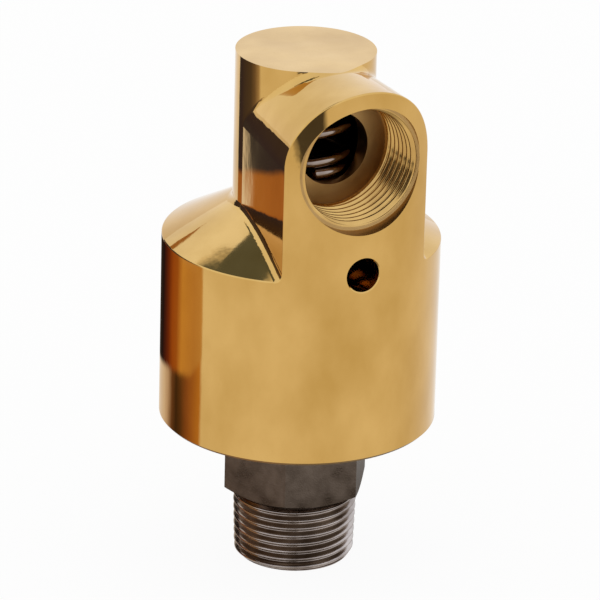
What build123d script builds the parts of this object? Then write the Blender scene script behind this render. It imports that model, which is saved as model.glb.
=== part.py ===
from build123d import *
import os
from math import pi, radians, sqrt, tan

# Hydraulic rotary union with one passage: a pipe nipple that turns on two ball bearings in a
# housing with a side port, and a spring-loaded face seal between the two.
# Millimetres, +Z up along the axis of rotation, origin at the centre of the nipple's end face.
# The side port faces -Y.

os.makedirs("parts", exist_ok=True)

# ---------------------------------------------------------------- housing, outside
total_height = 145.0        # nipple end face to the flat top of the neck
body_bottom = 41.0          # nipple end face to the lower face of the housing
body_radius = 37.5
body_height = 52.0          # lower face to the rim of the shoulder
shoulder_slope = 27.9       # degrees above the horizontal
neck_radius = 18.75
boss_half_width = 21.3      # of the port boss where it meets the outside of the body
boss_root_inset = 0.15      # how much narrower than the neck the boss is on the axis
boss_step = 0.1             # top of the boss below the top of the neck
outline_round = 0.4         # rim of the shoulder and front edge of the boss
valley_round = 2.5
crown_spare = 6.0           # neck above its finished top while the valleys are rounded
body_edge = 0.8             # chamfer round the lower face

# ---------------------------------------------------------------- side port and weep hole
port_minor_radius = 15.5    # crests of the G1 thread
port_drop = 0.55            # port axis below the centre of the boss arch
port_spotface_radius = 17.5
port_spotface_depth = 4.25  # from the front of the body
port_lead_in = 1.9          # 45 degree chamfer into the tapped hole
port_depth = 19.9           # front of the body to the floor of the tapped hole
port_window_radius = 10.0   # opening from the tapped hole into the neck
weep_radius = 4.65
weep_chamfer = 0.3
weep_rise = 0.3             # weep hole axis above the sealing face

# ---------------------------------------------------------------- bearings, 6007 size
bearing_bore_radius = 17.5
bearing_outside_radius = 31.0
bearing_width = 14.0
bearing_chamfer = 0.8
ball_radius = 4.0
ball_count = 9
ball_clearance = 0.05       # ball to the floor of each race groove
groove_ratio = 1.04         # race groove radius over ball radius
inner_land_radius = 21.9
outer_land_radius = 26.7
cage_wall = 2.6
cage_back = 4.9             # cage mid plane to its closed side
cage_front = 1.6            # cage mid plane to the tips of its fingers
pocket_clearance = 0.12
shield_thickness = 0.4
shield_inset = 0.3          # race face to the shield
shield_gap = 0.25           # shield to the inner race
shield_seat_depth = 0.9     # how far the shield's edge sits in the outer race
spacer_height = 6.0
spacer_wall = 3.0

# ---------------------------------------------------------------- retaining rings
housing_ring_thickness = 2.0
housing_ring_groove_depth = 1.5
housing_ring_width = 4.0
housing_ring_gap = 14.0
rotor_ring_thickness = 1.5
rotor_ring_groove_depth = 1.0
rotor_ring_width = 3.0
rotor_ring_gap = 8.0
ring_slack = 0.05           # ring to the sides and floor of its groove
ring_lug_radius = 2.2
ring_hole_radius = 1.25

# ---------------------------------------------------------------- grease seal, 42 x 62 x 7
seal_land_radius = 21.0     # of the rotor under the lip
grease_seal_height = 7.0
grease_seal_inset = 0.6     # below the lower face of the housing
grease_case_wall = 1.0
grease_ring_gap = 0.3       # grease seal to the retaining ring
lip_gap = 0.06
garter_radius = 0.7

# ---------------------------------------------------------------- rotor
nipple_length = 20.0        # end face to the hexagon
nipple_radius = 16.6        # over the crests of the R1 thread, mean of its taper
nipple_chamfer = 1.5
nipple_neck = 1.2           # plain groove between the thread and the hexagon
nipple_neck_depth = 1.6
hex_across_flats = 36.0
hex_height = 17.0
hex_turn = -3.5             # degrees from +X to a corner, at rest
hex_corner_drop = 1.3       # height of the corner chamfer
flow_radius = 11.0
flow_chamfer = 1.5
rotor_head = 5.4            # rotor above its retaining ring groove

# ---------------------------------------------------------------- face seal
seat_height = 7.0
seat_proud = 2.0            # sealing face above the top of the rotor
seat_radius = 14.4
seat_clearance = 0.1        # seat to its pocket
seat_groove_depth = 1.4
seat_groove_height = 2.4
carbon_height = 3.5
carbon_proud = 0.5          # sealing face below the carrier
carbon_radius = 14.1
carbon_bore_radius = 11.4
carrier_length = 18.6       # foot of the carrier to its top
carrier_bore_radius = 11.2
carrier_flange_radius = 19.6
carrier_flange_height = 1.9
carrier_clearance = 0.08    # carrier to the neck bore
carrier_lift = 1.5          # travel of the carrier from rest
lift_spare = 0.1            # flange to the housing at full lift
ring_groove_depth = 2.3
o_ring_height = 2.9
backup_height = 1.4
soft_gap = 0.06             # soft rings to the walls they run on
pin_radius = 1.5
pin_seat = 3.0              # length of the pin in the housing
pin_inset = 2.5             # pin circle outside the neck bore
pin_slot_clearance = 0.2

# ---------------------------------------------------------------- neck bore and spring
neck_wall = 3.25
crown_thickness = 5.0       # top of the neck to the blind end of its bore
spring_wire_radius = 1.5
spring_clearance = 1.0      # spring to the neck bore
spring_active_turns = 2.25
spring_closed_gap = 0.1     # between the end turn and the next
spring_turn = -106          # degrees from +X to the lower end of the wire
vent_radius = 24.0          # vent space round the sealing faces
vent_ledge_spare = 1.1      # ledge outside the pin holes
vent_cone_height = 3.5

# ---------------------------------------------------------------- heights that follow
shoulder_rim = body_bottom + body_height
shoulder_top = shoulder_rim + (body_radius - neck_radius) * tan(radians(shoulder_slope))
boss_arch_height = total_height - boss_step - boss_half_width
port_height = boss_arch_height - port_drop
neck_bore_radius = neck_radius - neck_wall
neck_bore_top = total_height - crown_thickness

grease_seal_base = body_bottom + grease_seal_inset
housing_ring_base = grease_seal_base + grease_seal_height + grease_ring_gap
lower_bearing_base = housing_ring_base + housing_ring_thickness + ring_slack
spacer_base = lower_bearing_base + bearing_width
upper_bearing_base = spacer_base + spacer_height
bearing_stop = upper_bearing_base + bearing_width
rotor_ring_base = bearing_stop + ring_slack
rotor_top = rotor_ring_base + rotor_ring_thickness + ring_slack + rotor_head
seal_face = rotor_top + seat_proud
seat_base = seal_face - seat_height
carrier_base = seal_face + carbon_proud
carrier_top = carrier_base + carrier_length
vent_top = carrier_base + carrier_flange_height + carrier_lift + lift_spare
weep_height = seal_face + weep_rise
pin_circle = neck_bore_radius + pin_inset
ball_circle = (bearing_bore_radius + bearing_outside_radius) / 2
ball_centres = [lower_bearing_base + bearing_width / 2, upper_bearing_base + bearing_width / 2]
hex_top = nipple_length + hex_height


def half_section(*points):
    """Closed face in the XZ plane from (radius, height) corners, to be turned about Z."""
    with BuildSketch(Plane.XZ) as section:
        with BuildLine():
            Polyline(*points, close=True)
        make_face()
    return section.sketch


def turned(*points):
    """Solid of revolution about Z from (radius, height) corners."""
    with BuildPart() as ring:
        add(half_section(*points))
        revolve(axis=Axis.Z)
    return ring.part


def save(part, name):
    """Label a finished piece and write it under its node name."""
    part.label = name
    export_step(part, f"parts/{name}.step")


# ================================================================ housing
def arch_profile(plane, half_width, foot):
    """U-shaped boss section: straight sides and a half-round top just under the top of the neck."""
    centre = total_height - boss_step - half_width
    with BuildSketch(plane) as profile:
        with BuildLine():
            Line((-half_width, foot), (half_width, foot))
            Line((half_width, foot), (half_width, centre))
            ThreePointArc((half_width, centre), (0, centre + half_width), (-half_width, centre))
            Line((-half_width, centre), (-half_width, foot))
        make_face()
    return profile.sketch


boss_foot = shoulder_rim - 6
boss_reach = body_radius + 2
boss_root = neck_radius - boss_root_inset
boss_flare = (boss_half_width - boss_root) / body_radius

with BuildPart() as boss:
    add(arch_profile(Plane.XZ, boss_root, boss_foot))
    add(arch_profile(Plane.XZ.offset(boss_reach), boss_root + boss_flare * boss_reach, boss_foot))
    loft()
    with BuildSketch(Plane.XY.offset(boss_foot)):
        Circle(body_radius)
    extrude(amount=total_height - boss_foot, mode=Mode.INTERSECT)

with BuildPart() as housing:
    add(turned((0, body_bottom), (body_radius, body_bottom), (body_radius, shoulder_rim),
               (neck_radius, shoulder_top), (neck_radius, total_height + crown_spare),
               (0, total_height + crown_spare)))
    lower_edge = housing.edges().filter_by(GeomType.CIRCLE).group_by(Axis.Z)[0]
    chamfer(lower_edge, length=body_edge)
    add(boss.part)
    valleys = housing.edges().filter_by_position(Axis.Z, shoulder_rim + outline_round, total_height)
    valleys = valleys.filter_by_position(Axis.Y, -body_radius * 0.75, body_radius)
    fillet(valleys, radius=valley_round)
    with BuildSketch(Plane.XY.offset(total_height)):
        Circle(body_radius)
    extrude(amount=crown_spare, mode=Mode.SUBTRACT)
    outline = housing.edges().filter_by_position(Axis.Z, shoulder_rim - 0.01, shoulder_rim + 0.01)
    boss_front = housing.edges().filter_by_position(Axis.Y, -body_radius, -body_radius * 0.8)
    outline += boss_front.filter_by_position(Axis.Z, shoulder_rim + 0.1, total_height)
    fillet(outline, radius=outline_round)

    # bearing bore, vent space round the sealing faces, and the neck bore, all on the axis
    ring_floor = bearing_outside_radius + housing_ring_groove_depth
    ring_low = housing_ring_base - ring_slack
    ring_high = lower_bearing_base
    lead_in = grease_seal_inset
    vent_top_radius = pin_circle + pin_radius + vent_ledge_spare
    add(turned((0, body_bottom), (bearing_outside_radius + lead_in, body_bottom),
               (bearing_outside_radius, body_bottom + lead_in), (bearing_outside_radius, ring_low),
               (ring_floor, ring_low), (ring_floor, ring_high), (bearing_outside_radius, ring_high),
               (bearing_outside_radius, bearing_stop), (vent_radius, bearing_stop),
               (vent_radius, vent_top - vent_cone_height), (vent_top_radius, vent_top),
               (neck_bore_radius, vent_top), (neck_bore_radius, neck_bore_top), (0, neck_bore_top)),
        mode=Mode.SUBTRACT)

    # tapped hole of the side port, from the front of the body inwards
    port_floor = body_radius - port_depth
    port_face = body_radius - port_spotface_depth
    with BuildSketch(Plane.XZ.offset(port_floor)):
        with Locations((0, port_height)):
            Circle(port_minor_radius)
    extrude(amount=port_depth + 1, mode=Mode.SUBTRACT)
    with BuildSketch(Plane.XZ.offset(port_face)):
        with Locations((0, port_height)):
            Circle(port_spotface_radius)
    extrude(amount=port_spotface_depth + 1, mode=Mode.SUBTRACT)
    with BuildSketch(Plane.XZ.offset(port_face)):
        with Locations((0, port_height)):
            Circle(port_minor_radius + port_lead_in)
    extrude(amount=-port_lead_in, taper=45, mode=Mode.SUBTRACT)
    with BuildSketch(Plane.XZ):
        with Locations((0, port_height)):
            Circle(port_window_radius)
    extrude(amount=port_floor + 1, mode=Mode.SUBTRACT)

    # weep hole under the port, into the vent space
    with BuildSketch(Plane.XZ.offset(vent_top_radius)):
        with Locations((0, weep_height)):
            Circle(weep_radius)
    extrude(amount=body_radius, mode=Mode.SUBTRACT)
    weep_mouth = housing.edges(Select.LAST).filter_by_position(Axis.Y, -body_radius, -body_radius + 1)
    chamfer(weep_mouth, length=weep_chamfer)

    # blind holes for the two anti-rotation pins
    with BuildSketch(Plane.XY.offset(vent_top)):
        with PolarLocations(pin_circle, 2):
            Circle(pin_radius)
    extrude(amount=pin_seat, mode=Mode.SUBTRACT)

save(housing.part, "housing")


# ================================================================ bearings
track_radius = ball_radius * groove_ratio
inner_track_centre = ball_circle - ball_radius - ball_clearance + track_radius
outer_track_centre = ball_circle + ball_radius + ball_clearance - track_radius
shield_seat_radius = outer_land_radius + shield_seat_depth
shield_recess = shield_inset + shield_thickness


def inner_race(centre):
    """Race on the rotor, with a ball track round its outside."""
    low = centre - bearing_width / 2
    high = centre + bearing_width / 2
    with BuildPart() as race:
        with BuildSketch(Plane.XZ):
            with BuildLine():
                Polyline((bearing_bore_radius, low + bearing_chamfer),
                         (bearing_bore_radius + bearing_chamfer, low), (inner_land_radius, low),
                         (inner_land_radius, high), (bearing_bore_radius + bearing_chamfer, high),
                         (bearing_bore_radius, high - bearing_chamfer), close=True)
            make_face()
            with Locations((inner_track_centre, centre)):
                Circle(track_radius, mode=Mode.SUBTRACT)
        revolve(axis=Axis.Z)
    return race.part


def outer_race(centre):
    """Race in the housing, with a ball track inside and a recess for a shield at each end."""
    low = centre - bearing_width / 2
    high = centre + bearing_width / 2
    outside = bearing_outside_radius
    with BuildPart() as race:
        with BuildSketch(Plane.XZ):
            with BuildLine():
                Polyline((outside, low + bearing_chamfer), (outside - bearing_chamfer, low),
                         (shield_seat_radius, low), (shield_seat_radius, low + shield_recess),
                         (outer_land_radius, low + shield_recess),
                         (outer_land_radius, high - shield_recess),
                         (shield_seat_radius, high - shield_recess), (shield_seat_radius, high),
                         (outside - bearing_chamfer, high), (outside, high - bearing_chamfer),
                         close=True)
            make_face()
            with Locations((outer_track_centre, centre)):
                Circle(track_radius, mode=Mode.SUBTRACT)
        revolve(axis=Axis.Z)
    return race.part


def shields(centre):
    """Pair of sheet-metal shields in the ends of the outer race, clear of the inner race."""
    inside = inner_land_radius + shield_gap
    with BuildPart() as pair:
        for side in (-1, 1):
            outer_face = centre + side * (bearing_width / 2 - shield_inset)
            inner_face = outer_face - side * shield_thickness
            add(turned((inside, inner_face), (shield_seat_radius, inner_face),
                       (shield_seat_radius, outer_face), (inside, outer_face)))
    return pair.part


def balls(centre):
    """Ring of separate balls, evenly spaced."""
    with BuildPart() as ring:
        with Locations(Plane.XY.offset(centre)):
            with PolarLocations(ball_circle, ball_count):
                Sphere(ball_radius)
    return ring.part


def cage(centre):
    """Crown cage: a ring closed below, with a round pocket for each ball open at the top."""
    inside = ball_circle - cage_wall / 2
    outside = ball_circle + cage_wall / 2
    low = centre - cage_back
    high = centre + cage_front
    with BuildPart() as crown:
        add(turned((inside, low), (outside, low), (outside, high), (inside, high)))
        with Locations(Plane.XY.offset(centre)):
            with PolarLocations(ball_circle, ball_count):
                Sphere(ball_radius + pocket_clearance, mode=Mode.SUBTRACT)
    return crown.part


for place, centre in zip(("lower", "upper"), ball_centres):
    save(inner_race(centre), f"{place}_bearing_inner_race")
    save(outer_race(centre), f"{place}_bearing_outer_race")
    save(shields(centre), f"{place}_bearing_shields")
    save(balls(centre), f"{place}_bearing_balls")
    save(cage(centre), f"{place}_bearing_cage")

inner_spacer = turned((bearing_bore_radius, spacer_base),
                      (bearing_bore_radius + spacer_wall, spacer_base),
                      (bearing_bore_radius + spacer_wall, upper_bearing_base),
                      (bearing_bore_radius, upper_bearing_base))
save(inner_spacer, "inner_spacer")
outer_spacer = turned((bearing_outside_radius - spacer_wall, spacer_base),
                      (bearing_outside_radius, spacer_base),
                      (bearing_outside_radius, upper_bearing_base),
                      (bearing_outside_radius - spacer_wall, upper_bearing_base))
save(outer_spacer, "outer_spacer")


# ================================================================ retaining rings
def snap_ring(radius, width, gap, base, thickness):
    """Open flat ring with a lug and a plier hole at each end of its gap, which is centred on +Y.

    radius is the edge that sits in the groove; a positive width lies outside it, a negative inside.
    """
    middle = radius + width / 2
    lug_centre = radius + (ring_lug_radius if width > 0 else -ring_lug_radius)
    lug_angle = (gap / 2 + ring_lug_radius) / abs(lug_centre) * 180 / pi
    reach = abs(middle) + abs(width)
    with BuildPart() as ring:
        with BuildSketch(Plane.XY.offset(base)):
            Circle(max(radius, radius + width))
            Circle(min(radius, radius + width), mode=Mode.SUBTRACT)
            with Locations((0, reach / 2 + radius / 2)):
                Rectangle(gap + 2 * ring_lug_radius, reach, mode=Mode.SUBTRACT)
            with PolarLocations(lug_centre, 2, start_angle=90 - lug_angle, angular_range=2 * lug_angle,
                                endpoint=True):
                Circle(ring_lug_radius)
            with PolarLocations(lug_centre, 2, start_angle=90 - lug_angle, angular_range=2 * lug_angle,
                                endpoint=True):
                Circle(ring_hole_radius, mode=Mode.SUBTRACT)
        extrude(amount=thickness)
    return ring.part


housing_ring = snap_ring(ring_floor - ring_slack, -housing_ring_width, housing_ring_gap,
                         housing_ring_base, housing_ring_thickness)
save(housing_ring, "housing_retaining_ring")
rotor_ring_floor = bearing_bore_radius - rotor_ring_groove_depth
rotor_ring = snap_ring(rotor_ring_floor + ring_slack, rotor_ring_width, rotor_ring_gap,
                       rotor_ring_base, rotor_ring_thickness)
save(rotor_ring, "rotor_retaining_ring")


# ================================================================ grease seal
seal_low = grease_seal_base
seal_high = grease_seal_base + grease_seal_height
case_outside = bearing_outside_radius
case_lip_radius = (seal_land_radius + case_outside) / 2 - 1.5
lip_back = seal_land_radius + 2.4
grease_case = turned((case_lip_radius, seal_low), (case_outside, seal_low), (case_outside, seal_high),
                     (case_outside - grease_case_wall, seal_high),
                     (case_outside - grease_case_wall, seal_low + grease_case_wall),
                     (case_lip_radius, seal_low + grease_case_wall))
save(grease_case, "grease_seal_case")
lip_edge = seal_land_radius + lip_gap
garter_height = seal_low + 4.9
garter_circle = lip_back + 0.2
with BuildPart() as grease_lip:
    with BuildSketch(Plane.XZ):
        with BuildLine():
            Polyline((lip_edge + 0.5, seal_low), (case_lip_radius, seal_low),
                     (case_lip_radius, seal_low + grease_case_wall),
                     (case_lip_radius + 1.2, seal_low + grease_case_wall),
                     (case_lip_radius + 1.2, seal_low + 1.8), (lip_back - 0.2, seal_low + 1.8),
                     (lip_back, seal_low + 6.0), (lip_edge + 1.4, seal_low + 6.0),
                     (lip_edge, seal_low + 4.4), (lip_edge + 0.9, seal_low + 3.2),
                     (lip_edge + 0.9, seal_low + 1.6), (lip_edge + 0.2, seal_low + 0.9), close=True)
        make_face()
        with Locations((garter_circle, garter_height)):
            Circle(garter_radius, mode=Mode.SUBTRACT)
    revolve(axis=Axis.Z)
save(grease_lip.part, "grease_seal_lip")
with BuildPart() as garter:
    with BuildSketch(Plane.XZ):
        with Locations((garter_circle, garter_height)):
            Circle(garter_radius)
    revolve(axis=Axis.Z)
save(garter.part, "garter_spring")


# ================================================================ rotor
thread_top = nipple_length - nipple_neck
neck_floor = nipple_radius - nipple_neck_depth
hex_corner_radius = hex_across_flats / sqrt(3)
collar_low = hex_top
pocket_radius = seat_radius + seat_clearance
ring_groove_top = rotor_ring_base + rotor_ring_thickness + ring_slack

with BuildPart() as hexagon:
    with BuildSketch(Plane.XY.offset(nipple_length)):
        RegularPolygon(hex_corner_radius, 6, rotation=hex_turn)
    extrude(amount=hex_height)
    flat_radius = hex_across_flats / 2
    slope = hex_corner_drop / (hex_corner_radius - flat_radius)
    reach = hex_corner_radius + 1
    drop = (reach - flat_radius) * slope
    add(turned((0, nipple_length), (flat_radius, nipple_length), (reach, nipple_length + drop),
               (reach, hex_top - drop), (flat_radius, hex_top), (0, hex_top)), mode=Mode.INTERSECT)

with BuildPart() as rotor:
    add(turned((0, 0), (nipple_radius - nipple_chamfer, 0), (nipple_radius, nipple_chamfer),
               (nipple_radius, thread_top), (neck_floor, thread_top),
               (neck_floor, nipple_length), (0, nipple_length)))
    add(hexagon.part)
    add(turned((0, collar_low), (seal_land_radius, collar_low),
               (seal_land_radius, lower_bearing_base), (bearing_bore_radius, lower_bearing_base),
               (bearing_bore_radius, bearing_stop), (rotor_ring_floor, bearing_stop),
               (rotor_ring_floor, ring_groove_top), (bearing_bore_radius, ring_groove_top),
               (bearing_bore_radius, rotor_top - 1), (bearing_bore_radius - 1, rotor_top),
               (0, rotor_top)))
    add(turned((0, 0), (flow_radius + flow_chamfer, 0), (flow_radius, flow_chamfer),
               (flow_radius, seat_base), (pocket_radius, seat_base), (pocket_radius, rotor_top),
               (0, rotor_top)), mode=Mode.SUBTRACT)
save(rotor.part, "rotor")


# ================================================================ face seal
seat_groove_low = seat_base + (rotor_top - seat_base - seat_groove_height) / 2
seat_groove_high = seat_groove_low + seat_groove_height
seat_groove_floor = seat_radius - seat_groove_depth
seal_seat = turned((flow_radius, seat_base), (seat_radius, seat_base), (seat_radius, seat_groove_low),
                   (seat_groove_floor, seat_groove_low), (seat_groove_floor, seat_groove_high),
                   (seat_radius, seat_groove_high), (seat_radius, seal_face - 0.4),
                   (seat_radius - 0.4, seal_face), (flow_radius, seal_face))
save(seal_seat, "seal_seat")


def squeezed_ring(inside, outside, low, high):
    """O-ring pressed between its groove and the wall: a ring with half-round ends."""
    with BuildPart() as ring:
        with BuildSketch(Plane.XZ):
            with Locations(((inside + outside) / 2, (low + high) / 2)):
                RectangleRounded(outside - inside, high - low, (outside - inside) * 0.4)
        revolve(axis=Axis.Z)
    return ring.part


save(squeezed_ring(seat_groove_floor, pocket_radius, seat_groove_low + 0.1, seat_groove_high - 0.1),
     "seat_o_ring")

carbon_top = seal_face + carbon_height
carbon_ring = turned((carbon_bore_radius, seal_face), (seat_radius - 0.9, seal_face),
                     (seat_radius - 0.9, seal_face + carbon_proud * 0.6),
                     (carbon_radius, seal_face + carbon_proud * 0.6), (carbon_radius, carbon_top),
                     (carbon_bore_radius, carbon_top))
save(carbon_ring, "carbon_seal_ring")

flange_top = carrier_base + carrier_flange_height
carrier_radius = neck_bore_radius - carrier_clearance
soft_radius = neck_bore_radius - soft_gap
groove_floor = neck_bore_radius - ring_groove_depth
groove_height = o_ring_height + backup_height + 0.1
groove_low = (vent_top + carrier_lift + carrier_top) / 2 - groove_height / 2
groove_high = groove_low + groove_height
with BuildPart() as carrier:
    add(turned((carrier_bore_radius, carbon_top), (carbon_radius, carbon_top),
               (carbon_radius, carrier_base), (carrier_flange_radius, carrier_base),
               (carrier_flange_radius, flange_top), (carrier_radius, flange_top),
               (carrier_radius, groove_low), (groove_floor, groove_low), (groove_floor, groove_high),
               (carrier_radius, groove_high), (carrier_radius, carrier_top),
               (carrier_bore_radius, carrier_top)))
    slot_width = 2 * (pin_radius + pin_slot_clearance)
    with BuildSketch(Plane.XY.offset(carrier_base)):
        with PolarLocations(pin_circle, 2):
            Circle(slot_width / 2)
        with PolarLocations(pin_circle + slot_width, 2):
            Rectangle(2 * slot_width, slot_width)
    extrude(amount=carrier_flange_height, mode=Mode.SUBTRACT)
save(carrier.part, "seal_carrier")
save(squeezed_ring(groove_floor, soft_radius, groove_low, groove_low + o_ring_height),
     "carrier_o_ring")
backup_ring = turned((groove_floor, groove_high - backup_height), (soft_radius, groove_high - backup_height),
                     (soft_radius, groove_high), (groove_floor, groove_high))
save(backup_ring, "carrier_backup_ring")

with BuildPart() as pins:
    with BuildSketch(Plane.XY.offset(carrier_base + 0.2)):
        with PolarLocations(pin_circle, 2):
            Circle(pin_radius)
    extrude(amount=vent_top + pin_seat - carrier_base - 0.2)
save(pins.part, "anti_rotation_pins")


# ================================================================ spring
spring_circle = neck_bore_radius - spring_clearance - spring_wire_radius
closed_pitch = 2 * spring_wire_radius + spring_closed_gap
spring_low = carrier_top + spring_wire_radius
spring_high = neck_bore_top - spring_wire_radius
active_height = spring_high - spring_low - 2 * closed_pitch
active_pitch = active_height / spring_active_turns


def turns(pitch, count, start_height, start_angle):
    """Length of helix about Z, from a height and an angle in degrees."""
    stretch = Edge.make_helix(pitch, pitch * count, spring_circle)
    return Pos(0, 0, start_height) * Rot(0, 0, start_angle) * stretch


low_coil = turns(closed_pitch, 1, spring_low, spring_turn)
open_coil = turns(active_pitch, spring_active_turns, spring_low + closed_pitch, spring_turn)
high_coil = turns(closed_pitch, 1, spring_high - closed_pitch,
                  spring_turn + 360 * spring_active_turns)
coil = Wire([low_coil, open_coil, high_coil])
with BuildPart() as spring:
    with BuildSketch(Plane(origin=coil @ 0, z_dir=coil % 0)):
        Circle(spring_wire_radius)
    sweep(path=coil, is_frenet=True)
save(spring.part, "spring")
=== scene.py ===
import logging
import math
from collections.abc import Callable
from dataclasses import dataclass, field
from enum import Enum, IntEnum

import bpy
import numpy as np
from mathutils import Matrix, Vector


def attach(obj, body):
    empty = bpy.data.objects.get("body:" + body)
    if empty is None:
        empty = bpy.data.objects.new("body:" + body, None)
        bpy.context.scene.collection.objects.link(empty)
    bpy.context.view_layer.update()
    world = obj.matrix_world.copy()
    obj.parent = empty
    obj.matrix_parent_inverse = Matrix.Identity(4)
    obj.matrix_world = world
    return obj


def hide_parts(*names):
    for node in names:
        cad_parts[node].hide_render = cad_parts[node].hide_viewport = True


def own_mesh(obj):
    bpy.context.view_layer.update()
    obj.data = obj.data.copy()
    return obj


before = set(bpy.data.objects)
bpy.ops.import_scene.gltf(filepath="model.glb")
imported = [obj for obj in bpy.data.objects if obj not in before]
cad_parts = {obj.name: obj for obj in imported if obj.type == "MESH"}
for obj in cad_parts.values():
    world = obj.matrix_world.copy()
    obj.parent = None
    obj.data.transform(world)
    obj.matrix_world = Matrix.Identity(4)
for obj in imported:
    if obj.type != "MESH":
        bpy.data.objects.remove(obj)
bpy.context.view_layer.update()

# Hydraulic rotary union: a polished brass housing with a tapped side port, a steel nipple
# that turns in it on two ball bearings, and a spring-loaded face seal between them. Metres,
# +Z up along the axis of rotation, side port facing -Y.

logging.basicConfig(level=logging.INFO, format="%(message)s")
log = logging.getLogger("rotary_union")

MM = 0.001
WELD = 1.0e-7                        # points nearer than this are one point
NEAR = 1.0e-6                        # a face this near a plane or cylinder lies on it
EDGE_REACH = 2.0e-6                  # a point this near a circle is on that edge
LEAST_LENGTH = 1.0e-20               # keeps a normal of no length from dividing by zero
PORT_HEIGHT = 123.05 * MM            # height of the side port's axis
Colour = tuple[float, float, float]


# ---------------------------------------------------------------- finishes
class Pattern(Enum):
    """How the marks of working lie on a finish."""
    POLISHED = "polished"            # soft unevenness left by a buffing wheel
    TURNED = "turned"                # fine rings about an axis
    CAST = "cast"                    # coarse grain with pits
    MOULDED = "moulded"              # faint even grain


class Axis(Enum):
    """Axis that turned rings run about, as a ring pattern names its direction."""
    UPRIGHT = "Z"
    PORT = "Y"


# octaves of the noise that makes each pattern's marks
GRAIN_DETAIL = {Pattern.POLISHED: 2.0, Pattern.CAST: 6.0, Pattern.MOULDED: 2.0}
RING_DETAIL = 2.0                    # octaves of the unevenness of turned rings
RING_DISTORTION = 1.5
PATCH_DETAIL = 5.0                   # octaves of the soft patches
WAVE_DETAIL = 1.0                    # octaves of the unevenness under the marks
SHADE_SPAN = (0.32, 0.68)            # noise values at which the colour stops drifting
GLOSS_SPAN = (0.3, 0.7)              # noise values at which the roughness stops drifting
LEAST_ROUGHNESS = 0.02


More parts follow.
